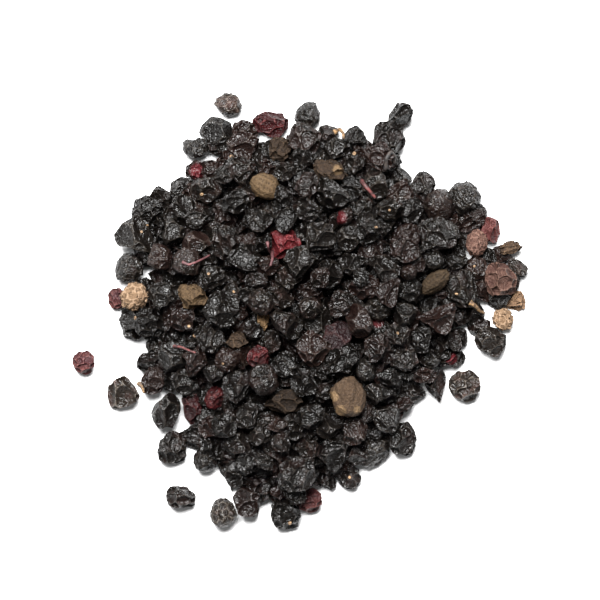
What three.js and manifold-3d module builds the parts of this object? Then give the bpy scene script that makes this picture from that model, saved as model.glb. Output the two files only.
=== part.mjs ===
// Dried elderberry cluster: a loose heap of small, dried, crumpled berries lying on a flat
// surface, with a few single berries round its foot. Millimetres, +Z up, the surface is z = 0.
// The origin is on that surface, under the middle of the heap.

import * as THREE from 'three';
import { mergeVertices } from 'three/addons/utils/BufferGeometryUtils.js';
import Module from 'manifold-3d';

const wasm = await Module();
wasm.setup();

// Driving dimensions

// Dried berries, as the mean radius of their uneven forms
const berryRadiusLeast = 1.65;
const berryRadiusMost = 2.75;
const smallBerryLeast = 1.25;
const smallBerryMost = 1.7;
const smallBerryCount = 7;
const formCount = 8;
const dentCount = 5;

// The heap, by the heights of its outer berries' centres
const heapMiddle = [-1.2, 0.6];
const heapReach = 30;
const rimCentreHeight = 1.9;
const topCentreHeight = 8.9;
const topLayerDepth = 2.7;
const topLayerRise = 0.6;
const pitRise = 0.9;

// How closely berries lie side by side and how deep they nest on each other
const squeeze = 0.93;
const nesting = 0.86;
const flatness = 0.45;

// How berries meet the surface, and the gap round each berry that is a body of its own
const floorHalfHeight = 0.82;
const flatSpotDepth = 0.14;
const footShare = 0.8;
const footGrowth = 0.25;
const clearance = 0.3;
const scrapVolume = 5;

// The inner core
const coreDrop = 2.9;
const coreUnderside = 1.9;
const coreReach = 0.78;
const coreLip = 0.4;
const coreRings = 5;
const coreSides = 24;

// Mesh balls that the berries are shaped from, a little larger than 1 to make up for flat sides
const icosahedronRadius = 1.13;
const ballRadius = 1.05;
const ballSides = 8;
const ballBands = 5;

// Seeds of the random draws, and how often a berry is tried
const pourSeed = 2037;
const formSeed = 77;
const pourTries = 24;
const pourMisses = 80;

// Each berry below is listed as: x, y, mean radius, skin, name, length, breadth. A berry with
// no name is a black one that is fused into the heap.

// The berry under the heap's middle, and how far it is moved so that the origin is on its flat spot
const seatBerry = [0, 0, 2.2];
const seatShift = [0.45, -1.67];

// Berries in order round the foot of the heap, which is filled as far as their centres
const footRing = [
  [22.7, 0.6, 1.85],
  [23.2, 6.7, 1.9],
  [21.8, 13.2, 1.65],
  [21.6, 16.7, 2.5],
  [18.0, 15.5, 2.4],
  [15.6, 18.4, 2.0],
  [12.5, 19.6, 1.75],
  [12.2, 28.1, 2.2],
  [10.6, 25.1, 2.4],
  [6.9, 22.9, 2.1],
  [6.0, 25.1, 1.5],
  [2.2, 25.5, 1.6],
  [-0.8, 28.4, 2.05],
  [-3.0, 24.2, 1.5],
  [-5.9, 27.0, 2.1, 'red', 'berry_red_dusty', 1.12, 0.95],
  [-7.7, 22.3, 2.15],
  [-9.7, 26.0, 1.85],
  [-13.3, 25.9, 2.3],
  [-16.4, 23.7, 1.8],
  [-16.1, 20.4, 1.6],
  [-21.3, 16.6, 1.8],
  [-23.2, 14.5, 2.2],
  [-25.1, 11.2, 2.5],
  [-26.0, 6.7, 2.2],
  [-27.4, 2.4, 1.5, 'plum', 'berry_dark_red_edge', 0.9, 1.15],
  [-25.4, -1.2, 2.1],
  [-21.7, -3.8, 1.6],
  [-22.7, -6.4, 1.8],
  [-22.4, -9.1, 1.9],
  [-16.6, -12.8, 2.1, 'red', 'berry_dark_red_folded', 0.85, 1.15],
  [-16.5, -17.1, 1.8],
  [-15.0, -20.4, 2.05],
  [-11.1, -22.1, 2.15],
  [-8.5, -25.8, 2.4],
  [-4.1, -28.1, 2.4],
  [-0.3, -26.0, 1.9, 'plum', 'berry_red_brown_foot', 1.1, 0.95],
  [2.2, -23.2, 1.3],
  [5.2, -22.8, 1.7],
  [8.7, -19.0, 2.3],
  [12.6, -17.5, 2.3],
  [14.1, -10.8, 1.8],
  [17.5, -9.5, 2.0],
  [19.6, -6.0, 1.75],
  [20.4, -2.9, 1.4],
];

// Berries that lie clear of the heap or lean on its edge
const looseBerries = [
  [-11.8, 29.7, 1.85, 'black', 'berry_stray_top', 1.12, 0.9],
  [-32.3, -6.6, 1.75, 'plum', 'berry_stray_left', 1.12, 0.95],
  [-18.8, -25.5, 2.1, 'black', 'berry_stray_lower_left', 1.2, 0.85],
  [-26.7, -10.8, 2.4, 'black', 'berry_loose_left', 1, 1],
  [-20.5, -13.4, 2.3, 'black', 'berry_loose_smooth', 0.95, 1.08],
  [-19.7, -18.6, 2.1, 'black', 'berry_loose_low_left', 1, 1.05],
  [-12.5, -27.7, 1.95, 'black', 'berry_loose_foot', 1, 1],
  [21.4, -9.8, 2.2, 'black', 'berry_loose_right', 1.05, 1],
  [24.9, -3.7, 2.35, 'black', 'berry_loose_right_round', 1, 1],
  [25.1, 12.1, 1.75, 'plum', 'berry_red_mauve', 0.9, 1.1],
  [26.9, -0.5, 1.7, 'tan', 'berry_tan_woolly_right', 0.92, 1.08],
  [28.8, 2.0, 1.4, 'brown', 'berry_tan_hollow', 0.85, 1.15],
  [28.7, 6.9, 1.6, 'black', 'berry_loose_edge', 1, 1],
  [28.2, 9.6, 1.5, 'brown', 'berry_tan_long', 1.25, 0.8],
  [26.7, 5.2, 2.35, 'rust', 'berry_red_brown_round', 0.95, 1.05],
  [-25.0, 2.7, 1.95, 'tan', 'berry_tan_woolly_left', 1.05, 1],
];

// Berries that show on top of the heap
const topBerries = [
  [-4.5, 23.5, 1.75, 'brown', 'berry_brown_papery', 0.95, 1.05],
  [23.2, 10.2, 1.8, 'rust', 'berry_pink_tan', 0.95, 1.05],
  [-3.9, 10.2, 2.2, 'red', 'berry_red_bright', 1.05, 0.95],
  [-13.6, -11.6, 1.75, 'red', 'berry_red_pebbly', 0.95, 1.1],
  [3.6, -2.7, 1.95, 'plum', 'berry_plum', 1.05, 0.98],
  [-7.5, -5.8, 1.6, 'red', 'berry_red_tucked', 0.95, 1.05],
  [-16.5, 2.7, 2.0, 'golden', 'berry_golden', 1.12, 0.9],
  [-6.9, 17.9, 2.25, 'golden', 'berry_golden_ribbed', 1.1, 0.9],
  [2.6, 20.3, 2.2, 'brown', 'berry_brown_rough', 1.15, 0.8],
  [5.0, -11.3, 2.6, 'brown', 'berry_tan_disc', 0.97, 1.08],
  [17.2, 4.8, 2.0, 'golden', 'berry_golden_long', 1.25, 0.75],
  [-6.8, -0.4, 1.3, 'golden', 'berry_orange_bit', 0.8, 1.15],
  [-10.5, -3.2, 1.5, 'brown', 'berry_brown_ridged', 1.05, 0.95],
  [-4.0, -12.0, 2.2, 'plum', 'berry_brown_folded', 1.25, 0.75],
];

// Bare patches of the surface that show between the berries near the foot: x, y, radius
const barePatches = [
  [-13.9, 22.4, 1.1],
  [-23.1, 6.0, 1.3],
  [-5.9, -22.9, 1.2],
];

const skins = {
  black: { color: 0x16120f, roughness: 0.55 },
  plum: { color: 0x4a2227, roughness: 0.6 },
  red: { color: 0x7c1f26, roughness: 0.5 },
  rust: { color: 0x84543f, roughness: 0.75 },
  tan: { color: 0xc59c72, roughness: 0.95 },
  golden: { color: 0x8a6a3c, roughness: 0.85 },
  brown: { color: 0x5f4a35, roughness: 0.85 },
};

// A small seeded generator gives every random draw, so the heap is always the same
function makeDraw(seed) {
  let state = seed >>> 0;
  return () => {
    state = (Math.imul(state, 1664525) + 1013904223) >>> 0;
    return state / 4294967296;
  };
}

function drawDirection(draw) {
  for (;;) {
    const x = 2 * draw() - 1;
    const y = 2 * draw() - 1;
    const z = 2 * draw() - 1;
    const length = Math.sqrt(x * x + y * y + z * z);
    if (length > 0.2 && length < 1) return new THREE.Vector3(x / length, y / length, z / length);
  }
}

// The shrunken forms that the berries take: an uneven ball with a few pushed-in dents
function makeForms() {
  const draw = makeDraw(formSeed);
  const forms = [];
  for (let i = 0; i < formCount; i += 1) {
    const axes = new THREE.Vector3(1 + 0.14 * draw(), 0.9 + 0.1 * draw(), 0.74 + 0.16 * draw());
    const dents = [];
    for (let k = 0; k < dentCount; k += 1) {
      dents.push({ towards: drawDirection(draw), depth: 0.14 + 0.2 * draw(), width: 0.7 + 0.35 * draw() });
    }
    const form = { axes, dents, growth: 1 };
    const ball = new THREE.SphereGeometry(1, 16, 12).attributes.position;
    const point = new THREE.Vector3();
    let sum = 0;
    for (let k = 0; k < ball.count; k += 1) sum += dent(point.fromBufferAttribute(ball, k), form).length();
    form.growth = ball.count / sum;
    forms.push(form);
  }
  return forms;
}

function dent(point, form) {
  const moved = point.clone();
  for (const { towards, depth, width } of form.dents) {
    const near = 1 - moved.distanceTo(towards) / width;
    if (near > 0) moved.addScaledVector(towards, -depth * near * near * (3 - 2 * near));
  }
  return moved.multiply(form.axes).multiplyScalar(form.growth);
}

function toManifold(geometry) {
  const bare = geometry.clone();
  bare.deleteAttribute('normal');
  bare.deleteAttribute('uv');
  const merged = mergeVertices(bare);
  const vertProperties = new Float32Array(merged.attributes.position.array);
  const triVerts = new Uint32Array(merged.index.array);
  return new wasm.Manifold(new wasm.Mesh({ numProp: 3, vertProperties, triVerts }));
}

function toGeometry(solid) {
  const { vertProperties, triVerts, numProp } = solid.getMesh();
  const positions = [];
  for (let i = 0; i < vertProperties.length; i += numProp) {
    positions.push(vertProperties[i], vertProperties[i + 1], vertProperties[i + 2]);
  }
  const geometry = new THREE.BufferGeometry();
  geometry.setAttribute('position', new THREE.Float32BufferAttribute(positions, 3));
  geometry.setIndex(Array.from(triVerts));
  geometry.computeVertexNormals();
  return geometry;
}

// How the berries settle

const berries = [];

function restHeight(x, y, r) {
  let z = floorHalfHeight * r;
  for (const other of berries) {
    const dx = x - other.x;
    const dy = y - other.y;
    const reach = squeeze * (r + other.r);
    const room = reach * reach - dx * dx - dy * dy;
    if (room > 0) z = Math.max(z, other.z + nesting * Math.sqrt(room));
  }
  return z;
}

// How far out a place is on the way from the heap's middle (0) to its foot ring (1)
function shareOut(x, y) {
  const dx = x - heapMiddle[0];
  const dy = y - heapMiddle[1];
  for (let i = 0; i < footRing.length; i += 1) {
    const [ax, ay] = footRing[i];
    const [bx, by] = footRing[(i + 1) % footRing.length];
    const sx = bx - ax;
    const sy = by - ay;
    const px = ax - heapMiddle[0];
    const py = ay - heapMiddle[1];
    const cross = dx * sy - dy * sx;
    const along = dx * py - dy * px;
    const share = cross / (px * sy - py * sx);
    if (along * (dx * (py + sy) - dy * (px + sx)) <= 0 && share > 0) return share;
  }
  return 0;
}

function nearAny(places, x, y, r, share) {
  return places.some(([px, py, pr]) => {
    const dx = x - px;
    const dy = y - py;
    const apart = share * (r + pr);
    return dx * dx + dy * dy < apart * apart;
  });
}

// The height of the topmost berries' centres, from the share of the way out to the foot ring
function heapCentreHeight(share) {
  const q = share * share;
  return rimCentreHeight + (topCentreHeight - rimCentreHeight) * (1 - q) * (1 + 0.5 * q);
}

const draw = makeDraw(pourSeed);

function drawPose() {
  const x = flatness * (2 * draw() - 1);
  const y = flatness * (2 * draw() - 1);
  const z = 2 * draw() - 1;
  const w = 2 * draw() - 1;
  const length = Math.sqrt(x * x + y * y + z * z + w * w);
  return new THREE.Quaternion(x / length, y / length, z / length, w / length);
}

function settle(x, y, r, skin = 'black', name = '', length = 1, breadth = 1) {
  const form = Math.floor(formCount * draw());
  const pose = drawPose();
  berries.push({ x, y, z: restHeight(x, y, r), r, skin, name, length, breadth, form, pose });
}

function pour(least, most, heightOverTop, keepOpen, count = Infinity) {
  let misses = 0;
  let poured = 0;
  while (misses < pourMisses && poured < count) {
    const r = least + 0.5 * (most - least) * (draw() + draw());
    let best = null;
    for (let i = 0; i < pourTries; i += 1) {
      const x = heapMiddle[0] + heapReach * (2 * draw() - 1);
      const y = heapMiddle[1] + heapReach * (2 * draw() - 1);
      if (shareOut(x, y) > 1) continue;
      if (nearAny(barePatches, x, y, r, 1) || nearAny(keepOpen, x, y, r, 0.85)) continue;
      const z = restHeight(x, y, r);
      if (best === null || z < best.z) best = { x, y, z };
    }
    if (best !== null && best.z <= heapCentreHeight(shareOut(best.x, best.y)) + heightOverTop) {
      settle(best.x, best.y, r);
      poured += 1;
      misses = 0;
    } else {
      misses += 1;
    }
  }
}

settle(...seatBerry);
for (const row of [...footRing, ...looseBerries]) settle(...row);
pour(berryRadiusLeast, berryRadiusMost, -topLayerDepth, looseBerries);
for (const row of topBerries) settle(...row);
const leftOpen = [...looseBerries, ...topBerries];
pour(berryRadiusLeast, berryRadiusMost, topLayerRise, leftOpen);
pour(smallBerryLeast, smallBerryMost, pitRise, leftOpen, smallBerryCount);

// Solids

const forms = makeForms();
const fewSides = new THREE.IcosahedronGeometry(icosahedronRadius, 0);
const moreSides = new THREE.SphereGeometry(ballRadius, ballSides, ballBands);

function berryGeometry(berry, ball, growth = 0) {
  const geometry = ball.clone();
  const position = geometry.attributes.position;
  const point = new THREE.Vector3();
  const size = berry.r + growth;
  let lowest = Infinity;
  for (let i = 0; i < position.count; i += 1) {
    point.fromBufferAttribute(position, i);
    point.copy(dent(point, forms[berry.form])).applyQuaternion(berry.pose);
    point.multiply(new THREE.Vector3(size * berry.length, size * berry.breadth, size));
    position.setXYZ(i, point.x, point.y, point.z);
    lowest = Math.min(lowest, point.z);
  }
  const onFloor = berry.z <= floorHalfHeight * berry.r;
  const height = onFloor ? -lowest * (berry.r / size) - flatSpotDepth : berry.z;
  const [shiftX, shiftY] = berry === berries[0] ? seatShift : [0, 0];
  geometry.translate(berry.x + shiftX, berry.y + shiftY, height);
  return geometry;
}

// Berries on the surface near the foot ring are made fuller, so that they meet their neighbours
function isAtFoot(berry) {
  return berry.z <= floorHalfHeight * berry.r && shareOut(berry.x, berry.y) > footShare;
}

function trimToFloor(solid) {
  return solid.trimByPlane([0, 0, 1], 0);
}

// The inner core: a low dome within the foot ring, which the berries stand out of all over
function coreGeometry() {
  const profile = [new THREE.Vector2(0, coreUnderside), new THREE.Vector2(coreReach, coreUnderside)];
  for (let i = coreRings; i > 0; i -= 1) {
    const share = (coreReach * i) / coreRings;
    const height = heapCentreHeight(share) - coreDrop;
    profile.push(new THREE.Vector2(share, Math.max(height, coreUnderside + coreLip)));
  }
  profile.push(new THREE.Vector2(0, topCentreHeight - coreDrop));
  const geometry = new THREE.LatheGeometry(profile, coreSides);
  geometry.rotateX(Math.PI / 2);
  const position = geometry.attributes.position;
  for (let i = 0; i < position.count; i += 1) {
    const x = position.getX(i);
    const y = position.getY(i);
    const length = Math.hypot(x, y);
    const reach = length > 0 ? 1 / shareOut(heapMiddle[0] + x / length, heapMiddle[1] + y / length) : 0;
    position.setXY(i, heapMiddle[0] + x * reach, heapMiddle[1] + y * reach);
  }
  return geometry;
}

function largestBody(solid) {
  return solid.decompose().reduce((a, b) => (a.volume() > b.volume() ? a : b));
}

const named = berries.filter((berry) => berry.name);
const plain = berries.filter((berry) => !berry.name);

function nodeMesh(name, solid, skin) {
  const material = new THREE.MeshStandardMaterial({ ...skins[skin], metalness: 0 });
  const mesh = new THREE.Mesh(toGeometry(solid), material);
  mesh.name = name;
  return mesh;
}

const cluster = new THREE.Group();

let heap = wasm.Manifold.union([
  toManifold(coreGeometry()),
  ...plain.map((berry) => toManifold(berryGeometry(berry, fewSides, isAtFoot(berry) ? footGrowth : 0))),
]);
const cutters = named.map((berry) => toManifold(berryGeometry(berry, moreSides, clearance)));
heap = trimToFloor(heap.subtract(wasm.Manifold.union(cutters)));

// The heap, and the few black berries that touch none of the others in it
const bodies = heap.decompose().filter((body) => body.volume() > scrapVolume);
bodies.sort((a, b) => b.volume() - a.volume());
bodies.forEach((body, i) => {
  cluster.add(nodeMesh(i === 0 ? 'black_berry_heap' : `black_berries_apart_${i}`, body, 'black'));
});

named.forEach((berry, i) => {
  let solid = trimToFloor(toManifold(berryGeometry(berry, moreSides)));
  if (i > 0) solid = solid.subtract(wasm.Manifold.union(cutters.slice(0, i)));
  cluster.add(nodeMesh(berry.name, largestBody(solid), berry.skin));
});

export default cluster;
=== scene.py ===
# Dried elderberry cluster: a loose heap of small crumpled berries, seen from straight above
import math
import bpy
from mathutils import Matrix, Quaternion, Vector


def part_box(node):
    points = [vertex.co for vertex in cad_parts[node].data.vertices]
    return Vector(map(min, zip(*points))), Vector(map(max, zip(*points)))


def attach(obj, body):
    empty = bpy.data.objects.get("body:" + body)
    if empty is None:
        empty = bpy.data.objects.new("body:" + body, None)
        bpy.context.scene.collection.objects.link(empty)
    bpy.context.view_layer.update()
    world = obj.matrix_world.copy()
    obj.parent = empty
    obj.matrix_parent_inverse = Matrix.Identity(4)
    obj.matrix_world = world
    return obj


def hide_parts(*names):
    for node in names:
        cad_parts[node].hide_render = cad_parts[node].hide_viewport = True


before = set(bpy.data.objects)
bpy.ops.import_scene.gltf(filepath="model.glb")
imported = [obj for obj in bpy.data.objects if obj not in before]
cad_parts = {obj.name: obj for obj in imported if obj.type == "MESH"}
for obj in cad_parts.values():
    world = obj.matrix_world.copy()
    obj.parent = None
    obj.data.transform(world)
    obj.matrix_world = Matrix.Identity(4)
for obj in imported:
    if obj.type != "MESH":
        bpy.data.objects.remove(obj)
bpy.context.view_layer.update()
mm = 0.001
print("frame loaded")

# how the berries lie, in millimetres: the named ones where their solids are, the black ones around them
heap = {
    "berryRadiusLeast": 1.35,
    "berryRadiusMost": 2.25,
    "smallBerryLeast": 1.1,
    "smallBerryMost": 1.5,
    "smallBerryCount": 26,
    "formCount": 8,
    "dentCount": 5,
    "middle": (-1.2, 0.6),
    "reach": 30,
    "rimCentreHeight": 1.7,
    "topCentreHeight": 9.3,
    "topLayerDepth": 2.5,
    "topLayerRise": 0.5,
    "pitRise": 0.7,
    "peak": 11.2,
    "squeeze": 0.93,
    "nesting": 0.86,
    "flatness": 0.45,
    "floorHalfHeight": 0.82,
    "flatSpotDepth": 0.14,
    "seenRadius": 0.89,
    "pourSeed": 2037,
    "formSeed": 77,
    "pourTries": 24,
    "pourMisses": 70,
    "topsAbove": 3.2,
    "clearShare": 0.85,
    "standTries": 60,
    "standRadius": (1.2, 0.9),
    "standGap": 0.5,
    "fillerStep": 0.6,
    "fillerSteps": 50,
    "fillerHeight": 1.6,
    "fillerRadius": 1.5,
    "fillerReach": 0.93,
}

# black berries of the heap's foot, and those that show on top of it: x, y, radius as seen, look, tone
footRing = [
    (23.2, 6.7, 1.9),
    (21.8, 13.2, 1.65),
    (21.6, 16.7, 2.5),
    (18.0, 15.5, 2.4),
    (15.6, 18.4, 2.0),
    (12.5, 19.6, 1.75, "smooth"),
    (12.2, 28.1, 2.2),
    (10.6, 25.1, 2.4),
    (6.9, 22.9, 2.1, "folded", 0.8),
    (6.0, 25.1, 1.5),
    (2.2, 25.5, 1.6),
    (-0.8, 28.4, 2.05),
    (-3.0, 24.2, 1.5),
    (-7.7, 22.3, 2.15),
    (-9.7, 26.0, 1.85),
    (-13.3, 25.9, 2.3),
    (-16.4, 23.7, 1.8),
    (-16.1, 20.4, 1.6),
    (-21.3, 16.6, 1.8),
    (-23.2, 14.5, 2.2),
    (-25.1, 11.2, 2.5),
    (-21.7, -3.8, 1.6),
    (-22.7, -6.4, 1.8),
    (-22.4, -9.1, 1.9),
    (-16.5, -17.1, 1.8),
    (-15.0, -20.4, 2.05),
    (-11.1, -22.1, 2.15),
    (-8.5, -25.8, 2.4),
    (2.2, -23.2, 1.3),
    (8.7, -19.0, 2.3),
    (12.6, -17.5, 2.3),
    (14.1, -10.8, 1.8),
    (17.5, -9.5, 2.0),
    (19.6, -6.0, 1.75),
    (20.4, -2.9, 1.4),
]
shownBerries = [
    (21.1, 3.8, 2.5, "netted", 0.2),
    (17.9, -0.3, 2.7, "leathery", 0.9),
    (17.9, 11.3, 2.7, "netted", 0.3),
    (16.4, -5.9, 1.8, "pebbly", 0.2),
    (3.1, 17.2, 2.5, "leathery", 0.0),
    (9.0, 18.5, 2.1, "smooth", 0.2),
    (-18.2, -0.6, 2.0, "netted", 0.9),
    (-14.8, 17.9, 2.1, "smooth", 0.3),
    (-21.3, 8.5, 2.1, "pebbly", 0.9),
    (-19.6, -5.9, 2.0, "smooth", 0.0),
    (-18.1, -9.2, 2.0, "netted", 0.2),
    (-10.8, -18.1, 2.1, "netted", 0.2),
    (-2.1, -22.3, 2.6, "netted", 0.3),
    (2.9, -19.2, 2.5, "crumpled", 0.2),
    (10.4, -14.4, 2.2, "leathery", 0.1),
]
# black ones on the floor, half under the single berries of the edge: x, y, radius as seen
underBerries = [
    (24.6, 8.0, 1.7),
    (24.2, 4.3, 1.9),
    (26.6, 8.2, 1.5),
    (26.3, 2.6, 1.7),
    (28.2, 5.0, 1.4),
    (23.8, -1.6, 1.6),
    (23.4, 14.2, 1.5),
]
# floor that shows between the berries of the foot: x, y, radius
barePatches = [
    (-13.9, 22.4, 1.3),
    (-23.1, 6.0, 1.5),
    (-5.9, -22.9, 1.3),
]
# places of other berries on the line round the foot
ringExtras = [(5.2, -22.8), (-5.9, 27.0), (-27.0, 2.4), (-16.6, -12.8)]
# black berries that lie apart from the heap: x, y, height of the middle, radius, node
apartBerries = [
    (22.7, 0.6, 1.52, 1.85, 4),
    (-26.0, 6.7, 1.8, 2.2, 2),
    (-25.4, -1.2, 1.72, 2.1, 3),
    (-4.1, -28.1, 1.97, 2.4, 1),
    (-2.8, -24.7, 3.86, 2.18, 1),
    (5.2, -22.8, 1.39, 1.7, 5),
    (-13.91, 5.21, 6.99, 1.92, 6),
]
# the single berries that stand out: skin, look, tone, which way the longer side points in degrees, shade
singles = {
    "berry_red_bright": ("red", "crumpled", 0.0, 20, 0.46),
    "berry_red_dusty": ("red", "netted", 0.9, 0, 0.41),
    "berry_dark_red_folded": ("red", "folded", 0.8, 60, 0.19),
    "berry_red_pebbly": ("red", "pebbly", 0.6, 80, 0.3),
    "berry_red_tucked": ("red", "crumpled", 0.7, 10, 0.4),
    "berry_plum": ("plum", "smooth", 0.3, 0, 0.3),
    "berry_brown_folded": ("brown", "folded", 0.6, 0, 0.22),
    "berry_red_brown_foot": ("plum", "netted", 0.6, 0, 1.1),
    "berry_dark_red_edge": ("plum", "netted", 0.6, 90, 1.3),
    "berry_stray_left": ("plum", "netted", 0.4, 0, 1.53),
    "berry_red_mauve": ("plum", "leathery", 0.8, 90, 1.39),
    "berry_red_brown_round": ("rust", "netted", 0.4, 0, 0.51),
    "berry_pink_tan": ("rust", "woolly", 0.1, 0, 0.63),
    "berry_tan_woolly_left": ("tan", "woolly", 0.2, 0, 0.44),
    "berry_tan_woolly_right": ("tan", "woolly", 0.1, 90, 0.51),
    "berry_golden": ("golden", "papery", 0.3, 0, 0.37),
    "berry_golden_ribbed": ("golden", "ribbed", 0.1, 0, 0.34),
    "berry_golden_long": ("golden", "ribbed", 0.7, 0, 0.16),
    "berry_orange_bit": ("golden", "papery", 0.0, 90, 1.15),
    "berry_brown_rough": ("brown", "papery", 0.4, 0, 0.34),
    "berry_brown_papery": ("brown", "papery", 0.3, 90, 0.3),
    "berry_brown_ridged": ("brown", "folded", 0.4, 0, 0.32),
    "berry_tan_disc": ("brown", "disc", 0.1, 90, 0.38),
    "berry_tan_hollow": ("brown", "crumpled", 0.3, 90, 2.12),
    "berry_tan_long": ("brown", "papery", 0.5, 0, 0.77),
    "berry_loose_smooth": ("black", "smooth", 0.2, 0, 0.84),
    "berry_loose_left": ("black", "leathery", 0.3, 0, 4.2),
    "berry_loose_right": ("black", "netted", 0.2, 0, 4.4),
    "berry_loose_right_round": ("black", "netted", 0.1, 0, 3.0),
    "berry_loose_low_left": ("black", "netted", 0.3, 90, 1.19),
    "berry_loose_foot": ("black", "pebbly", 0.2, 0, 2.95),
    "berry_loose_edge": ("black", "crumpled", 0.1, 0, 3.5),
    "berry_stray_top": ("black", "pebbly", 0.4, 0, 3.5),
    "berry_stray_lower_left": ("black", "netted", 0.3, 0, 1.74),
}


def makeDraw(seed):
    state = [seed]

    def draw():
        state[0] = (state[0] * 1664525 + 1013904223) & 0xFFFFFFFF
        return state[0] / 4294967296

    return draw


def drawDirection(draw):
    while True:
        place = Vector((2 * draw() - 1, 2 * draw() - 1, 2 * draw() - 1))
        if 0.2 < place.length < 1:
            return place.normalized()


def makeForms():
    draw = makeDraw(heap["formSeed"])
    forms = []
    for i in range(heap["formCount"]):
        axes = Vector((1 + 0.14 * draw(), 0.9 + 0.1 * draw(), 0.74 + 0.16 * draw()))
        dents = [(drawDirection(draw), 0.14 + 0.2 * draw(), 0.7 + 0.35 * draw())
                 for k in range(heap["dentCount"])]
        forms.append((axes, dents))
    return forms


pourDraw = makeDraw(heap["pourSeed"])
outline = [(row[0], row[1]) for row in footRing]
outline += [(x, y) for x, y, z, r, node in apartBerries[:4]] + ringExtras
outline.sort(key=lambda p: math.atan2(p[1] - heap["middle"][1], p[0] - heap["middle"][0]))


def drawPose():
    x, y = (heap["flatness"] * (2 * pourDraw() - 1) for i in range(2))
    z, w = (2 * pourDraw() - 1 for i in range(2))
    return Quaternion((w, x, y, z)).normalized()


def addBerry(x, y, z, r, look="", tone=-1, **more):
    berries.append({"x": x, "y": y, "z": z, "r": r, "look": look, "tone": tone,
                    "form": int(heap["formCount"] * pourDraw()), "pose": drawPose(), **more})


berries = []
for name in singles:
    low, high = (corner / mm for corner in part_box(name))
    middle = (low + high) / 2
    addBerry(*middle, (high.x - low.x + high.y - low.y) / 4.6, name=name)
for x, y, z, r, node in apartBerries:
    addBerry(x, y, z, r * heap["seenRadius"], node=f"black_berries_apart_{node}")
tops = [berry for berry in berries if berry["z"] > heap["topsAbove"]]


def restHeight(x, y, r, skip=()):
    z = heap["floorHalfHeight"] * r
    for other in berries:
        dx, dy = x - other["x"], y - other["y"]
        reach = heap["squeeze"] * (r + other["r"])
        room = reach * reach - dx * dx - dy * dy
        if room > 0 and other not in skip:
            z = max(z, other["z"] + heap["nesting"] * math.sqrt(room))
    return z


def shareOut(x, y):
    # 0 in the heap's middle, 1 on its foot ring
    mx, my = heap["middle"]
    dx, dy = x - mx, y - my
    for i, a in enumerate(outline):
        b = outline[(i + 1) % len(outline)]
        sx, sy = b[0] - a[0], b[1] - a[1]
        px, py = a[0] - mx, a[1] - my
        along = dx * py - dy * px
        share = (dx * sy - dy * sx) / (px * sy - py * sx)
        if along * (dx * (py + sy) - dy * (px + sx)) <= 0 and share > 0:
            return share
    return 0


def nearAny(places, x, y, r, share):
    return any(math.hypot(x - place[0], y - place[1]) < share * (r + place[2]) for place in places)


def heapCentreHeight(share):
    q = share * share
    rim, top = heap["rimCentreHeight"], heap["topCentreHeight"]
    return rim + (top - rim) * (1 - q) * (1 + 0.5 * q)


def inTheWay(x, y, z, r):
    return any(math.dist((x, y, z), (t["x"], t["y"], t["z"])) < 0.82 * (r + t["r"]) for t in tops)


def pour(least, most, heightOverTop, keepOpen, skip=(), count=math.inf):
    misses = 0
    poured = 0
    while misses < heap["pourMisses"] and poured < count:
        r = least + 0.5 * (most - least) * (pourDraw() + pourDraw())
        best = None
        for i in range(heap["pourTries"]):
            x = heap["middle"][0] + heap["reach"] * (2 * pourDraw() - 1)
            y = heap["middle"][1] + heap["reach"] * (2 * pourDraw() - 1)
            taken = nearAny(barePatches, x, y, r, 1) or nearAny(keepOpen, x, y, r, heap["clearShare"])
            if shareOut(x, y) > 1 or taken:
                continue
            z = restHeight(x, y, r, skip)
            if (best is None or z < best[2]) and not (skip and inTheWay(x, y, z, r)):
                best = (x, y, z)
        if best and best[2] <= heapCentreHeight(shareOut(best[0], best[1])) + heightOverTop:
            addBerry(*best, r)
            poured += 1
            misses = 0
        else:
            misses += 1


def standUnder(top):
    # a berry below one that would hang in the air
    if top["z"] - restHeight(top["x"], top["y"], top["r"], tops) < heap["standGap"]:
        return
    best = None
    least, more = heap["standRadius"]
    for i in range(heap["standTries"]):
        r = least + more * pourDraw()
        x, y = (top[axis] + top["r"] * (2 * pourDraw() - 1) * 0.7 for axis in "xy")
        z = restHeight(x, y, r, tops)
        gap = math.dist((x, y, z), (top["x"], top["y"], top["z"])) - heap["squeeze"] * (r + top["r"])
        if z < top["z"] and (best is None or abs(gap) < abs(best[0])):
            best = (gap, x, y, z, r)
    if best:
        addBerry(*best[1:])


for x, y, r, *look in footRing:
    r *= heap["seenRadius"]
    addBerry(x, y, restHeight(x, y, r, tops), r, *look)
for x, y, r in underBerries:
    r *= heap["seenRadius"]
    addBerry(x, y, heap["floorHalfHeight"] * r, r)
looseOnes = [(b["x"], b["y"], b["r"]) for b in berries[:len(singles)] if b["z"] < heap["topsAbove"]]
pour(heap["berryRadiusLeast"], heap["berryRadiusMost"], -heap["topLayerDepth"], looseOnes, tops)
for top in sorted(tops, key=lambda t: t["z"]):
    standUnder(top)
    standUnder(top)
for x, y, r, *look in shownBerries:
    r *= heap["seenRadius"]
    addBerry(x, y, restHeight(x, y, r), r, *look)
leftOpen = looseOnes + [(b["x"], b["y"], b["r"]) for b in tops]
leftOpen += [(x, y, r * heap["seenRadius"]) for x, y, r, *look in shownBerries]
pour(heap["berryRadiusLeast"], heap["berryRadiusMost"], heap["topLayerRise"], leftOpen)
pour(heap["smallBerryLeast"], heap["smallBerryMost"], heap["pitRise"], leftOpen, (), heap["smallBerryCount"])


def openToFloor(x, y):
    if shareOut(x, y) > 0.93 or nearAny(barePatches, x, y, 0.5, 1):
        return False
    return not any(math.hypot(x - b["x"], y - b["y"]) < heap["fillerReach"] * b["r"] for b in berries)


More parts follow.
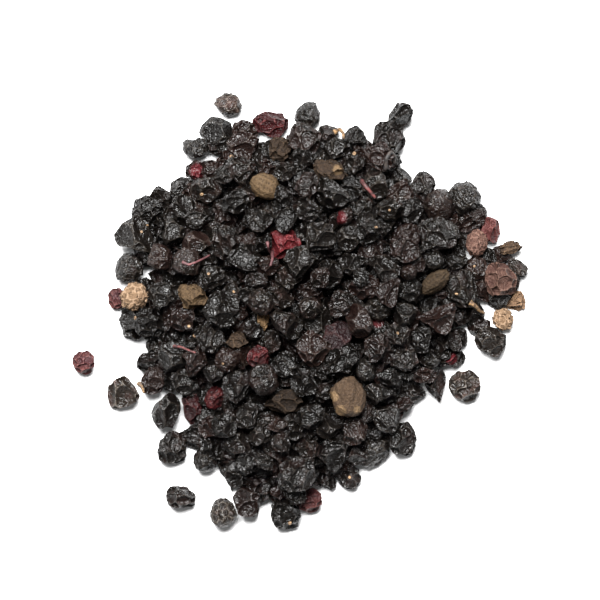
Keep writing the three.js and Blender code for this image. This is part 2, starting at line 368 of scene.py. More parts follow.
# small ones on the floor, where it would shine through
for i in range(-heap["fillerSteps"], heap["fillerSteps"]):
    for j in range(-heap["fillerSteps"], heap["fillerSteps"]):
        x, y = heap["middle"][0] + heap["fillerStep"] * i, heap["middle"][1] + heap["fillerStep"] * j
        if openToFloor(x, y):
            addBerry(x, y, heap["fillerHeight"], heap["fillerRadius"], low=True)
print("berries settled:", len(berries), "highest", round(max(b["z"] + b["r"] for b in berries), 2))


def seenFromAbove(berry):
    # share of the berry's round outline that no other berry covers
    others = [o for o in berries if o is not berry and o["z"] > berry["z"] - 1
              and math.hypot(o["x"] - berry["x"], o["y"] - berry["y"]) < o["r"] + berry["r"]]
    seen = total = 0
    rays = 4
    for i in range(-rays, rays + 1):
        for j in range(-rays, rays + 1):
            u, v = i / (rays + 0.5), j / (rays + 0.5)
            if u * u + v * v >= 1:
                continue
            total += 1
            x = berry["x"] + u * berry["r"]
            y = berry["y"] + v * berry["r"]
            top = berry["z"] + berry["r"] * math.sqrt(1 - u * u - v * v)
            covered = False
            for o in others:
                q = o["r"] ** 2 - (x - o["x"]) ** 2 - (y - o["y"]) ** 2
                if q > 0 and o["z"] + math.sqrt(q) > top:
                    covered = True
                    break
            seen += not covered
    return seen / total


# a node socket that can be added to and multiplied
class Wire:
    def __init__(self, bench, socket):
        self.bench = bench
        self.socket = socket

    def __add__(self, other):
        return self.bench.maths('ADD', self, other)

    def __sub__(self, other):
        return self.bench.maths('SUBTRACT', self, other)

    def __rsub__(self, other):
        return self.bench.maths('SUBTRACT', other, self)

    def __mul__(self, other):
        return self.bench.maths('MULTIPLY', self, other)

    __radd__ = __add__
    __rmul__ = __mul__


class Bench:
    def __init__(self, name):
        self.material = bpy.data.materials.new(name)
        self.material.use_nodes = True
        self.nodes = self.material.node_tree.nodes
        self.links = self.material.node_tree.links
        self.shader = self.nodes["Principled BSDF"]
        self.place = self.node("ShaderNodeTexCoord", "Object")

    def feed(self, socket, value):
        if isinstance(value, Wire):
            self.links.new(value.socket, socket)
        elif isinstance(value, tuple) and len(value) == 3 and socket.type == 'RGBA':
            socket.default_value = (*value, 1)
        else:
            socket.default_value = value

    def node(self, kind, output, settings=None, **sockets):
        node = self.nodes.new(kind)
        for key, value in (settings or {}).items():
            setattr(node, key, value)
        for key, value in sockets.items():
            self.feed(node.inputs[key.replace("_", " ")], value)
        return Wire(self, node.outputs[output])

    def maths(self, operation, a, b):
        node = self.nodes.new("ShaderNodeMath")
        node.operation = operation
        self.feed(node.inputs[0], a)
        self.feed(node.inputs[1], b)
        return Wire(self, node.outputs[0])

    def blend(self, share, a, b):
        node = self.nodes.new("ShaderNodeMix")
        node.data_type = 'RGBA'
        self.feed(node.inputs["Factor"], share)
        self.feed(node.inputs[6], a)
        self.feed(node.inputs[7], b)
        return Wire(self, node.outputs[2])

    def scale(self, colour, factor):
        scaled = self.node("ShaderNodeVectorMath", "Vector", {"operation": 'SCALE'}, Scale=factor)
        self.feed(scaled.socket.node.inputs[0], colour)
        return scaled

    def ramp(self, value, low, high, toLow=0.0, toHigh=1.0):
        # a smooth step between two values
        return self.node("ShaderNodeMapRange", "Result", {"interpolation_type": 'SMOOTHSTEP'}, Value=value,
                         From_Min=low, From_Max=high, To_Min=toLow, To_Max=toHigh)

    def noise(self, size, detail=3, rough=0.55, twist=0.0):
        # size in millimetres
        return self.node("ShaderNodeTexNoise", "Fac", Vector=self.place, Scale=1 / (size * mm),
                         Detail=detail, Roughness=rough, Distortion=twist)

    def net(self, size, bend=0.5):
        # thin ridges between cells, 1 on the ridge
        wobble = self.node("ShaderNodeTexNoise", "Color", Vector=self.place, Scale=1 / (size * 1.4 * mm),
                           Detail=2)
        place = self.node("ShaderNodeVectorMath", "Vector", {"operation": 'ADD'})
        self.feed(place.socket.node.inputs[0], self.place)
        self.feed(place.socket.node.inputs[1], self.scale(wobble, bend * size * mm))
        edge = self.node("ShaderNodeTexVoronoi", "Distance", {"feature": 'DISTANCE_TO_EDGE'}, Vector=place,
                         Scale=1 / (size * mm))
        return self.ramp(edge, 0.0, ridgeWidth, 1.0, 0.0)

    def attribute(self, name):
        return self.node("ShaderNodeAttribute", "Fac", {"attribute_name": name})


ridgeWidth = 0.2  # of the wrinkle net, as a share of its cells
redBlush = (0.055, 0.007, 0.009)  # on black berries
# colours of creases (painted shade), panels, ridges (dust and painted highlight), stained patches; shares of
# each; wrinkle sizes in millimetres
skins = {
    "black": {"deep": (0.0007, 0.0005, 0.0004), "body": (0.0034, 0.0025, 0.0019),
              "ridge": (0.03, 0.0255, 0.021), "stain": (0.013, 0.0055, 0.0042), "deepShare": 0.8,
              "ridgeShare": 0.5, "stainShare": 0.65, "crest": 0.6, "roughness": 0.32, "netSize": 0.85,
              "netDepth": 0.7, "grainDepth": 0.2, "specular": 0.25},
    "plum": {"deep": (0.006, 0.0025, 0.003), "body": (0.026, 0.0085, 0.0095),
             "ridge": (0.1, 0.045, 0.042), "stain": (0.06, 0.018, 0.015), "deepShare": 0.6,
             "ridgeShare": 0.4, "stainShare": 0.7, "crest": 0.4, "roughness": 0.5, "netSize": 0.8,
             "netDepth": 0.8, "grainDepth": 0.5, "specular": 0.16},
    "red": {"deep": (0.02, 0.003, 0.004), "body": (0.15, 0.016, 0.02), "ridge": (0.34, 0.085, 0.08),
            "stain": (0.035, 0.0075, 0.0075), "deepShare": 0.6, "ridgeShare": 0.4, "stainShare": 0.9,
            "crest": 0.4, "roughness": 0.42, "netSize": 0.7, "netDepth": 0.9, "grainDepth": 0.6,
            "specular": 0.2},
    "rust": {"deep": (0.03, 0.013, 0.01), "body": (0.12, 0.06, 0.044), "ridge": (0.28, 0.17, 0.13),
             "stain": (0.06, 0.022, 0.018), "deepShare": 0.6, "ridgeShare": 0.5, "stainShare": 0.7,
             "crest": 0.3, "roughness": 0.6, "netSize": 0.6, "netDepth": 1.0, "grainDepth": 1.2,
             "specular": 0.15},
    "tan": {"deep": (0.09, 0.052, 0.03), "body": (0.34, 0.215, 0.125), "ridge": (0.54, 0.38, 0.26),
            "stain": (0.18, 0.095, 0.055), "deepShare": 0.7, "ridgeShare": 0.6, "stainShare": 0.7,
            "crest": 0.3, "roughness": 0.9, "netSize": 0.4, "netDepth": 0.5, "grainDepth": 1.8,
            "specular": 0.12},
    "golden": {"deep": (0.02, 0.012, 0.006), "body": (0.115, 0.066, 0.03), "ridge": (0.27, 0.175, 0.09),
               "stain": (0.055, 0.03, 0.015), "deepShare": 0.7, "ridgeShare": 0.5, "stainShare": 0.7,
               "crest": 0.15, "roughness": 0.65, "netSize": 0.5, "netDepth": 0.6, "grainDepth": 1.3,
               "specular": 0.15},
    "brown": {"deep": (0.012, 0.008, 0.0055), "body": (0.07, 0.041, 0.024), "ridge": (0.22, 0.14, 0.08),
              "stain": (0.026, 0.016, 0.011), "deepShare": 0.7, "ridgeShare": 0.4, "stainShare": 0.7,
              "crest": 0.25, "patch": (0.36, 0.23, 0.12), "roughness": 0.65, "netSize": 0.5,
              "netDepth": 0.8, "grainDepth": 1.4, "specular": 0.15},
}


def makeSkin(name, look):
    bench = Bench(name + "Skin")
    crest = bench.attribute("crest")
    tone = bench.attribute("tone")
    blush = bench.attribute("blush")
    broad = bench.noise(2.0, 3, 0.6)
    fine = bench.noise(0.3, 5, 0.65, 0.6)
    crinkle = bench.net(look["netSize"])
    small = bench.net(look["netSize"] * 0.42, 0.8)
    stained = bench.ramp(broad + tone * 0.5, 0.6, 0.9) * look["stainShare"]
    colour = bench.blend(stained, look["body"], look["stain"])
    # painted shade: the sunken panels and creases between the ridges take the deep colour
    hollow = bench.ramp(crest * look["crest"] + fine * 0.7, 0.5, 0.2) * look["deepShare"]
    colour = bench.blend(hollow, colour, look["deep"])
    # dust and painted highlight: ridges and fine wrinkle lines take the lighter ridge colour
    dustAndHighlight = bench.ramp(crest * look["crest"] + fine + small * 0.12, 0.26 + look["crest"], 0.6 + look["crest"])
    colour = bench.blend(dustAndHighlight * look["ridgeShare"], colour, look["ridge"])
    reddened = bench.ramp(blush + fine * 0.4 - 0.2, 0.3, 0.6)
    colour = bench.blend(reddened * 0.8, colour, look.get("patch", redBlush))
    bench.feed(bench.shader.inputs["Base Color"], bench.scale(colour, bench.attribute("shade")))
    bench.feed(bench.shader.inputs["Roughness"], look["roughness"] + (broad - 0.5) * 0.5 + (fine - 0.5) * 0.3)
    bench.shader.inputs["Specular IOR Level"].default_value = look["specular"]
    relief = (crinkle + small * 0.35) * look["netDepth"] + fine * look["grainDepth"]
    bump = bench.node("ShaderNodeBump", "Normal", Height=relief, Strength=0.6, Distance=0.22 * mm)
    bench.feed(bench.shader.inputs["Normal"], bump)
    return bench.material


materials = {name: makeSkin(name, look) for name, look in skins.items()}
print("skins mixed")

# master berries: each is a ball that is dented, cut down to creased panels, and puckered
# panels: faces left after thinning; cut: how far their corners are cut off, in percent; merge: angle in
# degrees under which neighbours grow together; rim and sink: width of the ridges and depth of the panels
# between them; dish: depth of the panels' middles
wrinkles = {
    "netted": {"fold": 0.65, "foldDepth": 0.36, "panels": 66, "cut": 32, "merge": 11, "rim": 0.028,
               "sink": 0.08, "dish": 0.08, "warp": 0.26, "warpSize": 0.4, "fine": 0.26,
               "fineDepth": 0.07},
    "leathery": {"fold": 0.7, "foldDepth": 0.42, "panels": 42, "cut": 28, "merge": 16, "rim": 0.04,
                 "sink": 0.08, "dish": 0.09, "warp": 0.28, "warpSize": 0.5, "fine": 0.3,
                 "fineDepth": 0.07},
    "folded": {"fold": 0.6, "foldDepth": 0.4, "panels": 60, "cut": 26, "merge": 12, "rim": 0.035,
               "sink": 0.08, "dish": 0.07, "warp": 0.24, "warpSize": 0.45, "fine": 0.24,
               "fineDepth": 0.05, "stretch": 0.45},
    "crumpled": {"fold": 0.5, "foldDepth": 0.46, "panels": 50, "cut": 26, "merge": 16, "rim": 0.03,
                 "sink": 0.09, "dish": 0.1, "warp": 0.32, "warpSize": 0.45, "fine": 0.24,
                 "fineDepth": 0.06},
    "pebbly": {"fold": 0.65, "foldDepth": 0.36, "panels": 96, "cut": 36, "merge": 6, "rim": 0.025,
               "sink": -0.05, "dish": -0.03, "warp": 0.22, "warpSize": 0.35, "fine": 0.2,
               "fineDepth": 0.06},
    "smooth": {"fold": 0.9, "foldDepth": 0.36, "panels": 34, "cut": 30, "merge": 22, "rim": 0.07,
               "sink": 0.035, "dish": 0.05, "warp": 0.24, "warpSize": 0.6, "fine": 0.4,
               "fineDepth": 0.05},
    "woolly": {"fold": 0.4, "foldDepth": 0.34, "panels": 120, "cut": 34, "merge": 4, "rim": 0.03,
               "sink": -0.03, "dish": 0.03, "warp": 0.36, "warpSize": 0.2, "fine": 0.13, "fineDepth": 0.2,
               "dents": 0.5},
    "ribbed": {"fold": 0.9, "foldDepth": 0.1, "ribs": 13, "ribDepth": 0.1, "warp": 0.16, "warpSize": 0.35,
               "fine": 0.2, "fineDepth": 0.08, "dents": 0.2},
    "papery": {"fold": 0.45, "foldDepth": 0.5, "panels": 70, "cut": 24, "merge": 12, "rim": 0.025,
               "sink": 0.06, "dish": 0.05, "warp": 0.4, "warpSize": 0.35, "fine": 0.15, "fineDepth": 0.14,
               "stretch": 0.6},
    "disc": {"fold": 0.9, "foldDepth": 0.16, "panels": 120, "cut": 34, "merge": 2, "rim": 0.03, "sink": 0,
             "dish": 0, "warp": 0.2, "warpSize": 0.4, "fine": 0.3, "fineDepth": 0.06, "dents": 0.3,
             "plain": 1},
}
ballSteps = 4
ballFaces = 5120  # of an icosphere with that many subdivisions
patternPlace = bpy.data.objects.new("patternPlace", None)  # where the wrinkle patterns start
bpy.context.scene.collection.objects.link(patternPlace)


def pick(*pieces):
    bpy.ops.object.select_all(action='DESELECT')
    for piece in pieces:
        piece.select_set(True)
    bpy.context.view_layer.objects.active = pieces[0]


def applyScale(piece, x, y, z):
    piece.scale = (x, y, z)
    pick(piece)
    bpy.ops.object.transform_apply(location=False, rotation=False, scale=True)


def selectVertices(ball, chosen):
    pick(ball)
    bpy.ops.object.mode_set(mode='EDIT')
    bpy.ops.mesh.select_mode(type='VERT')
    bpy.ops.mesh.select_all(action='DESELECT')
    bpy.ops.object.mode_set(mode='OBJECT')
    for index in chosen:
        ball.data.vertices[index].select = True


def pushIn(ball, towards, depth, width):
    nearest = min(ball.data.vertices, key=lambda v: (v.co - towards).length_squared)
    selectVertices(ball, [nearest.index])
    bpy.ops.object.mode_set(mode='EDIT')
    bpy.ops.transform.translate(value=-depth * towards, use_proportional_edit=True,
                                proportional_edit_falloff='SMOOTH', proportional_size=width)
    bpy.ops.object.mode_set(mode='OBJECT')


def applyModifier(piece, kind, **settings):
    modifier = piece.modifiers.new(kind.lower(), kind)
    for key, value in settings.items():
        setattr(modifier, key, value)
    pick(piece)
    bpy.ops.object.modifier_apply(modifier=modifier.name)


def wrinkle(ball, strength, size, direction='NORMAL', **settings):
    texture = bpy.data.textures.new("wrinkle", 'CLOUDS')
    texture.noise_scale = size
    for key, value in settings.items():
        setattr(texture, key, value)
    applyModifier(ball, 'DISPLACE', texture=texture, strength=strength, mid_level=0.5, direction=direction,
                  texture_coords='OBJECT', texture_coords_object=patternPlace)
    bpy.data.textures.remove(texture)


def shapeRibs(ball, look):
    # every second line of longitude goes in
    count = 2 * look["ribs"]
    inward = {v.index for v in ball.data.vertices if abs(v.co.x) < 0.97
              and round(math.atan2(v.co.z, v.co.y) / (2 * math.pi) * count) % 2}
    crest = ball.data.attributes.new("crest", 'FLOAT', 'POINT')
    crest.data.foreach_set("value", [0 if v.index in inward else 1 for v in ball.data.vertices])
    selectVertices(ball, inward)
    bpy.ops.object.mode_set(mode='EDIT')
    bpy.ops.transform.shrink_fatten(value=-look["ribDepth"])
    bpy.ops.object.mode_set(mode='OBJECT')


def shapePanels(ball, look):
    stretch = look.get("stretch", 1)
    applyScale(ball, stretch, 1, 1)
    applyModifier(ball, 'DECIMATE', ratio=look["panels"] / ballFaces)
    applyScale(ball, 1 / stretch, 1, 1)
    bpy.ops.object.mode_set(mode='EDIT')
    bpy.ops.mesh.select_mode(type='FACE')
    bpy.ops.mesh.select_all(action='SELECT')
    bpy.ops.mesh.bevel(affect='VERTICES', offset_type='PERCENT', offset_pct=look["cut"])
    bpy.ops.mesh.select_all(action='SELECT')
    bpy.ops.mesh.dissolve_limited(angle_limit=math.radians(look["merge"]))
    bpy.ops.mesh.select_all(action='SELECT')
    bpy.ops.mesh.inset(thickness=look["rim"], depth=-look["sink"], use_individual=True)
    bpy.ops.object.mode_set(mode='OBJECT')
    # 1 on the ridges, 0 in the panels
    crest = ball.data.attributes.new("crest", 'FLOAT', 'POINT')
    heights = [0.5 if "plain" in look else 0 if v.select else 1 for v in ball.data.vertices]
    crest.data.foreach_set("value", heights)
    bpy.ops.object.mode_set(mode='EDIT')
    bpy.ops.mesh.inset(thickness=look["rim"] * 2.2, depth=-look["dish"], use_individual=True)
    bpy.ops.object.mode_set(mode='OBJECT')


def makeMaster(name, form, look, detailed, turn=0):
    axes, dents = form
    patternPlace.location = (3.1 * turn + 0.37, 7.7 + 1.9 * turn, 1.3 * turn)
    patternPlace.rotation_euler = (0.3 * turn, 0.7 * turn, 1.1 * turn)
    bpy.context.view_layer.update()
    bpy.ops.object.select_all(action='DESELECT')
    if "ribs" in look:
        bpy.ops.mesh.primitive_uv_sphere_add(segments=2 * look["ribs"], ring_count=18,
                                             rotation=(0, math.pi / 2, 0))
        bpy.ops.object.transform_apply(location=False, rotation=True, scale=False)
    else:
        bpy.ops.mesh.primitive_ico_sphere_add(subdivisions=ballSteps, radius=1)
    ball = bpy.context.object
    ball.name = name
    for towards, depth, width in dents:
        pushIn(ball, towards, depth * look.get("dents", 1), width)
    applyScale(ball, *axes)
    wrinkle(ball, look["foldDepth"], look["fold"])
    if "ribs" in look:
        shapeRibs(ball, look)
    else:
        shapePanels(ball, look)
    if detailed:
        applyModifier(ball, 'SUBSURF', levels=1, render_levels=1)
        wrinkle(ball, look["fineDepth"], look["fine"], noise_type='HARD_NOISE', noise_depth=2)
    wrinkle(ball, look["warp"], look["warpSize"], direction='RGB_TO_XYZ', cloud_type='COLOR')
    mean = sum(v.co.length for v in ball.data.vertices) / len(ball.data.vertices)
    applyScale(ball, 1 / mean, 1 / mean, 1 / mean)
    bpy.ops.object.shade_smooth()
    return ball


forms = makeForms()
masters = {}


def master(kind, form, detailed):
    key = (kind, form, detailed)
    if key not in masters:
        turn = list(wrinkles).index(kind) * heap["formCount"] + form
        masters[key] = makeMaster(f"{kind}{form}{detailed}", forms[form], wrinkles[kind], detailed, turn)
    return masters[key]


# red patches on black berries: x, y, radius
blushes = [
    (3.9, 13.7, 1.0),
    (9.2, -0.8, 0.9),
    (-16.1, 20.4, 1.2),
    (24.9, -4.9, 1.3),
    (19.6, -6.0, 0.9),
]


def addLayers(copy, tone, shade, spots):
    mesh = copy.data
    for layer, value in (("tone", tone), ("shade", shade)):
        mesh.attributes.new(layer, 'FLOAT', 'POINT').data.foreach_set("value", [value] * len(mesh.vertices))
    blush = [0] * len(mesh.vertices)
    for x, y, radius in spots:
        reach = radius * 1.6
        near = (1 - math.hypot(v.co.x / mm - x, v.co.y / mm - y) / reach for v in mesh.vertices)
        blush = [max(old, new) for old, new in zip(blush, near)]
    mesh.attributes.new("blush", 'FLOAT', 'POINT').data.foreach_set("value", blush)


def copyOf(source):
    copy = source.copy()
    copy.data = source.data.copy()
    bpy.context.collection.objects.link(copy)
    return copy


def extentOf(copy):
    return [[end(v.co[i] for v in copy.data.vertices) for i in range(3)] for end in (min, max)]


def layCopy(source, berry, tone, shade):
    copy = copyOf(source)
    copy.data.transform(Matrix.Scale(berry["r"] * mm, 4) @ berry["pose"].to_matrix().to_4x4())
    lowest, highest = (corner[2] for corner in extentOf(copy))
    onFloor = berry["z"] <= heap["floorHalfHeight"] * berry["r"] + 0.01
    if onFloor:
        height = -lowest - heap["flatSpotDepth"] * mm
    else:
        height = max(berry["z"] * mm, -lowest)
    height = min(height, heap["peak"] * mm - highest)
    copy.data.transform(Matrix.Translation((berry["x"] * mm, berry["y"] * mm, height)))
    for v in copy.data.vertices:
        v.co.z = max(v.co.z, 0)
    addLayers(copy, tone, shade, berry.get("blushes", []))
    return copy


# the long ones lie slantwise: degrees
lean = {"berry_golden_long": 38, "berry_golden_ribbed": -32, "berry_tan_long": 12}
# lighter spots: x, y, radius
lightSpots = {"berry_tan_disc": [(2.9, -11.2, 0.8), (3.9, -13.2, 0.9), (6.2, -13.0, 0.6)],
              "berry_brown_rough": [(3.6, 20.4, 0.8)]}
fitShare = 0.94  # of the solid's box that a single berry fills


def fitCopy(source, node, degrees, tone, shade):
    # turned and stretched into the box of the solid that it replaces
    copy = copyOf(source)
    copy.data.transform(Matrix.Rotation(math.radians(degrees), 4, 'Z'))
    low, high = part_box(node)
    least, most = extentOf(copy)
    size = [fitShare * (high[i] - low[i]) / (most[i] - least[i]) for i in range(3)]
    slant = Matrix.Rotation(math.radians(lean.get(node, 0)), 4, 'Z')
    copy.data.transform(slant @ Matrix.Diagonal((*size, 1)))
    least, most = extentOf(copy)
    shift = [(low[i] + high[i] - least[i] - most[i]) / 2 for i in range(3)]
    if low.z < 0.1 * mm:
        shift[2] = -least[2] - heap["flatSpotDepth"] * mm
    copy.data.transform(Matrix.Translation(shift))
    for v in copy.data.vertices:
        v.co.z = max(v.co.z, 0)
    addLayers(copy, tone, shade, lightSpots.get(node, []))
    return copy


def finish(piece, name, skin, node):
    piece.name = name
    piece.data.name = name
    piece.data.materials.clear()
    piece.data.materials.append(materials[skin])
    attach(piece, "root")
    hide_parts(node)
    built.append(piece)


plain = [berry for berry in berries if not berry.get("name")]
for x, y, radius in blushes:
    over = [b for b in plain if math.hypot(b["x"] - x, b["y"] - y) < b["r"]]
    if over:
        chosen = max(over, key=lambda b: b["z"])
        chosen.setdefault("blushes", []).append((x, y, radius))

# how the heap's black berries share out the kinds of wrinkle, and how the heap is divided
heapSettings = {
    "looks": (("netted", 0.36), ("leathery", 0.58), ("folded", 0.74), ("crumpled", 0.82), ("pebbly", 0.92),
              ("smooth", 1.0)),
    "seenShare": 0.1,
    "edgeShare": 0.85,
    "seed": 411,
    "middleReach": 10.5,
}
lookDraw = makeDraw(heapSettings["seed"])


def groupOf(berry):
    if "node" in berry:
        return "berriesApart" + berry["node"][-1]
    dx, dy = berry["x"] - heap["middle"][0], berry["y"] - heap["middle"][1]
    if math.hypot(dx, dy) < heapSettings["middleReach"]:
        return "heapBerriesMiddle"
    if abs(dx) >= abs(dy):
        return "heapBerriesRight" if dx > 0 else "heapBerriesLeft"
    return "heapBerriesTop" if dy > 0 else "heapBerriesFoot"


built = []
groups = {}
for berry in plain:
    chance, tone, shade = lookDraw(), lookDraw() ** 2, 0.7 + 0.7 * lookDraw()
    kind = berry["look"] or next(look for look, share in heapSettings["looks"] if chance < share)
    tone = berry["tone"] if berry["tone"] >= 0 else tone
    low = berry.get("low", False)
    berry["seen"] = 0 if low else seenFromAbove(berry)
    atEdge = shareOut(berry["x"], berry["y"]) > heapSettings["edgeShare"]
    detailed = berry["seen"] > heapSettings["seenShare"] or (atEdge and not low)
    copy = layCopy(master(kind, berry["form"], detailed), berry, tone, shade)
    groups.setdefault(groupOf(berry), []).append((copy, berry.get("node", "black_berry_heap")))
for name, copies in groups.items():
    pick(*[copy for copy, node in copies])
    if len(copies) > 1:
        bpy.ops.object.join()
    piece = bpy.context.object
    finish(piece, name, "black", copies[0][1])
    triangles = sum(len(face.vertices) - 2 for face in piece.data.polygons)
    print(name, len(copies), "berries", triangles, "triangles")

for berry in berries[:len(singles)]:
    skin, look, tone, degrees, shade = singles[berry["name"]]
    copy = fitCopy(master(look, berry["form"], True), berry["name"], degrees, tone, shade)
    first, *others = berry["name"].split("_")
    finish(copy, first + "".join(word.capitalize() for word in others), skin, berry["name"])
print("single berries laid:", len(singles), "from master berries:", len(masters))

for ball in masters.values():
    bpy.data.objects.remove(ball)
bpy.data.objects.remove(patternPlace)


def surfaceAt(x, y):
    # highest berry surface at a place given in millimetres, with its normal
    best = (Vector((x * mm, y * mm, 0)), Vector((0, 0, 1)))
    for piece in built:
        found, place, normal, index = piece.ray_cast(Vector((x * mm, y * mm, 0.05)), Vector((0, 0, -1)))
        if found and place.z > best[0].z:
            best = (place, normal)
    return best


trimSkins = {
    "scar": {"deep": (0.06, 0.033, 0.015), "body": (0.25, 0.155, 0.08)},
    "stalkTan": {"deep": (0.04, 0.02, 0.008), "body": (0.19, 0.11, 0.045)},
    "stalkRed": {"deep": (0.02, 0.006, 0.006), "body": (0.1, 0.024, 0.022)},
    "stalkPink": {"deep": (0.04, 0.012, 0.014), "body": (0.1, 0.034, 0.035)},
    "stalkDark": {"deep": (0.005, 0.004, 0.004), "body": (0.03, 0.022, 0.018)},
}


def makeTrimSkin(name, look):
    bench = Bench(name)
    streak = bench.noise(0.5, 3)
    colour = bench.blend(bench.ramp(streak, 0.35, 0.65), look["deep"], look["body"])
    bench.feed(bench.shader.inputs["Base Color"], colour)
    bench.feed(bench.shader.inputs["Roughness"], 0.55 + streak * 0.3)
    bump = bench.node("ShaderNodeBump", "Normal", Height=streak, Strength=0.5, Distance=0.08 * mm)
    bench.feed(bench.shader.inputs["Normal"], bump)
    return bench.material


trimMaterials = {name: makeTrimSkin(name, look) for name, look in trimSkins.items()}

scars = {
    "radius": 0.24,
    "height": 0.14,
    "places": [(-11.3, 22.4), (-23.1, 12.7), (-23.9, 11.8), (-14.4, 5.9), (-10.9, 3.4), (-24.8, -0.3),
               (-17.2, -1.4), (-16.5, -2.8), (5.3, -22.7), (-2.2, -24.2), (-3.1, -29.1)],
    "chance": 0.04,
    "seenShare": 0.45,
    "spread": 0.75,
    "lowest": 0.8,
    "levelShare": 0.3,
    "seed": 902,
}


def makeScarDot():
    bpy.ops.object.select_all(action='DESELECT')
    bpy.ops.mesh.primitive_cylinder_add(vertices=10, radius=scars["radius"] * mm, depth=scars["height"] * mm)
    dot = bpy.context.object
    bpy.ops.object.mode_set(mode='EDIT')
    bpy.ops.mesh.select_all(action='DESELECT')
    bpy.ops.object.mode_set(mode='OBJECT')
    for face in dot.data.polygons:
        face.select = face.normal.z > 0.9  # the top
    bpy.ops.object.mode_set(mode='EDIT')
    bpy.ops.mesh.select_mode(type='FACE')
    bpy.ops.mesh.inset(thickness=0.1 * mm, depth=0)
    bpy.ops.mesh.inset(thickness=0.06 * mm, depth=-0.07 * mm)
    bpy.ops.object.mode_set(mode='OBJECT')
    pick(dot)
    bpy.ops.object.shade_smooth()
    return dot


scarMaster = makeScarDot()
scarDraw = makeDraw(scars["seed"])
scarPlaces = list(scars["places"])
for berry in plain:
    if berry["seen"] > scars["seenShare"] and scarDraw() < scars["chance"]:
        far = scars["spread"] * berry["r"] * scarDraw()
        angle = 2 * math.pi * scarDraw()
        scarPlaces.append((berry["x"] + far * math.cos(angle), berry["y"] + far * math.sin(angle)))
dots = []
for x, y in scarPlaces:
    place, normal = surfaceAt(x, y)
    if place.z < scars["lowest"] * mm or normal.z < scars["levelShare"]:
        continue
    copy = copyOf(scarMaster)
    turn = Vector((0, 0, 1)).rotation_difference(normal).to_matrix().to_4x4()
    size = 0.7 + 0.6 * scarDraw()
    copy.data.transform(Matrix.Translation(place) @ turn @ Matrix.Scale(size, 4))
    dots.append(copy)
bpy.data.objects.remove(scarMaster)
pick(*dots)
bpy.ops.object.join()
scarPiece = bpy.context.object
scarPiece.name = "scarDots"
scarPiece.data.materials.append(trimMaterials["scar"])
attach(scarPiece, "root")
print("scar dots:", len(dots))

# points x, y and radius in millimetres
stalks = {
    "stalkHook": {"points": [(3.2, 25.9), (3.9, 26.3), (4.4, 25.7), (4.4, 24.9)],
                  "radius": 0.26, "skin": "stalkTan", "slot": "golden_skin"},
    "stalkReddish": {"points": [(6.9, 19.0), (7.6, 18.0), (8.3, 17.2), (8.9, 16.5)],
                     "radius": 0.26, "skin": "stalkRed", "slot": "plum_skin"},
    "stalkLoop": {"points": [(10.3, 20.6), (10.3, 21.9), (10.9, 22.9), (11.6, 22.5), (11.5, 21.3)],
                  "radius": 0.26, "skin": "stalkDark", "slot": "black_skin"},
    "stalkGolden": {"points": [(22.1, 1.9), (22.9, 1.4), (23.5, 0.7), (24.2, 0.4)],
                    "radius": 0.26, "skin": "stalkTan", "slot": "golden_skin"},
    "stalkLowLeft": {"points": [(-24.4, -9.6), (-23.9, -10.0), (-23.6, -10.7)],
                     "radius": 0.24, "skin": "stalkTan", "slot": "golden_skin"},
    "stalkRedLeft": {"points": [(-19.3, -4.2), (-18.3, -4.3), (-17.3, -4.7), (-16.2, -5.1)],
                     "radius": 0.16, "skin": "stalkRed", "slot": "plum_skin"},
    "stalkCurved": {"points": [(-18.0, 7.5), (-17.1, 7.1), (-15.9, 7.6), (-14.3, 8.5)],
                    "radius": 0.16, "skin": "stalkPink", "slot": "plum_skin"},
    "stalkPinkUpper": {"points": [(-6.2, 10.2), (-6.1, 9.4), (-5.7, 8.6)],
                       "radius": 0.18, "skin": "stalkPink", "slot": "plum_skin"},
    "stalkPinkLower": {"points": [(-5.6, 8.9), (-5.5, 8.0), (-5.8, 7.0)],
                       "radius": 0.2, "skin": "stalkPink", "slot": "plum_skin"},
}
stalkPoints = 10
stalkRounds = 60  # of drawing it tight


def alongLine(points, share):
    lengths = [math.dist(a, b) for a, b in zip(points, points[1:])]
    left = share * sum(lengths)
    for a, b, length in zip(points, points[1:], lengths):
        if left <= length:
            return [p + (q - p) * left / length for p, q in zip(a, b)]
        left -= length
    return list(points[-1])


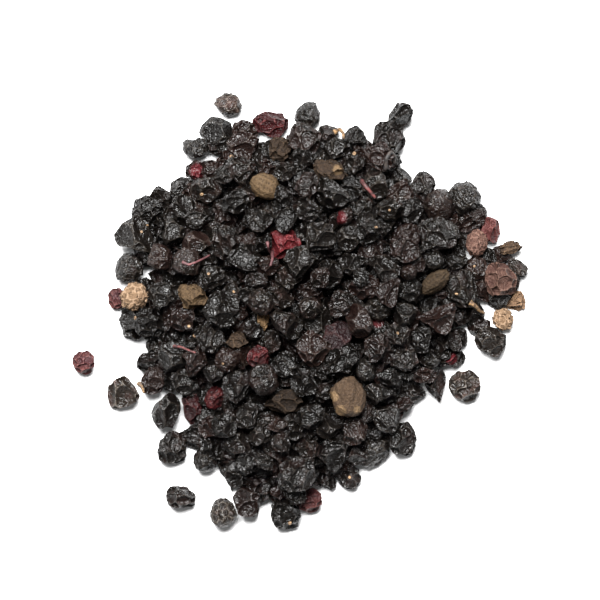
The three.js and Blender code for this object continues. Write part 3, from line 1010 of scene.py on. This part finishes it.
def makeStalk(name, look):
    radius = look["radius"] * mm
    places = [alongLine(look["points"], i / (stalkPoints - 1)) for i in range(stalkPoints)]
    ground = [surfaceAt(x, y)[0].z + 0.6 * radius for x, y in places]
    heights = list(ground)
    for i in range(stalkRounds):
        for k in range(1, stalkPoints - 1):
            heights[k] = max(ground[k], (heights[k - 1] + heights[k + 1]) / 2)
    bpy.ops.object.select_all(action='DESELECT')
    bpy.ops.curve.primitive_nurbs_path_add()
    stalk = bpy.context.object
    spline = stalk.data.splines[0]
    spline.points.add(stalkPoints - len(spline.points))
    for i, (point, place, height) in enumerate(zip(spline.points, places, heights)):
        point.co = (place[0] * mm, place[1] * mm, height, 1)
        point.radius = 1.2 - 0.05 * i + (0.5 if i == 0 else 0)  # thicker at its foot
    spline.use_endpoint_u = True
    spline.order_u = 3
    stalk.data.dimensions = '3D'
    stalk.data.bevel_depth = radius
    stalk.data.bevel_resolution = 2
    stalk.data.resolution_u = 3
    stalk.data.use_fill_caps = True
    pick(stalk)
    bpy.ops.object.convert(target='MESH')
    stalk = bpy.context.object
    stalk.name = name
    bpy.ops.object.mode_set(mode='EDIT')
    bpy.ops.mesh.select_all(action='SELECT')
    bpy.ops.mesh.remove_doubles(threshold=0.00001)
    bpy.ops.mesh.normals_make_consistent(inside=False)
    bpy.ops.object.mode_set(mode='OBJECT')
    bpy.ops.object.shade_smooth()
    stalk.data.materials.append(trimMaterials[look["skin"]])
    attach(stalk, "root")


for name, look in stalks.items():
    makeStalk(name, look)
print("stalk bits laid:", len(stalks))

# floor, light and camera
stage = {
    "viewCentre": (-1.68, 2.24),
    "viewWidth": 84,
    "distance": 500,
    "focusHeight": 5,
    "keyPower": 14,
    "keySize": 0.24,
    "keyPlace": (-0.05, 0.2, 0.45),
    "skyStrength": 0.27,
    "floorSize": 3,
    "floorTone": 0.76,
    "floorRoughness": 0.9,
    "sensorWidth": 36,
}
bpy.ops.object.select_all(action='DESELECT')
bpy.ops.mesh.primitive_plane_add(size=stage["floorSize"], location=(0, 0, 0))
floor = bpy.context.object
floor.name = "floor"
floorBench = Bench("whiteFloor")
floorBench.shader.inputs["Base Color"].default_value = (*[stage["floorTone"]] * 3, 1)
floorBench.shader.inputs["Roughness"].default_value = stage["floorRoughness"]
floor.data.materials.append(floorBench.material)

scene = bpy.context.scene
scene.view_settings.view_transform = 'Standard'
world = bpy.data.worlds.new("studio")
scene.world = world
world.use_nodes = True
sky = world.node_tree.nodes["Background"]
sky.inputs["Color"].default_value = (1, 1, 1, 1)
sky.inputs["Strength"].default_value = stage["skyStrength"]

keyLight = bpy.data.lights.new("keyLight", 'AREA')
keyLight.energy = stage["keyPower"]
keyLight.size = stage["keySize"]
keyLamp = bpy.data.objects.new("keyLight", keyLight)
scene.collection.objects.link(keyLamp)
keyLamp.location = stage["keyPlace"]
keyLamp.rotation_euler = (-Vector(stage["keyPlace"])).to_track_quat('-Z', 'Y').to_euler()

cameraData = bpy.data.cameras.new("camera")
cameraData.sensor_width = stage["sensorWidth"]
toFocus = stage["distance"] - stage["focusHeight"]
cameraData.lens = stage["sensorWidth"] * toFocus / stage["viewWidth"]
cameraData.clip_start = 0.01
cameraData.clip_end = 20
camera = bpy.data.objects.new("camera", cameraData)
scene.collection.objects.link(camera)
camera.location = Vector((*stage["viewCentre"], stage["distance"])) * mm
scene.camera = camera

print("stage set")
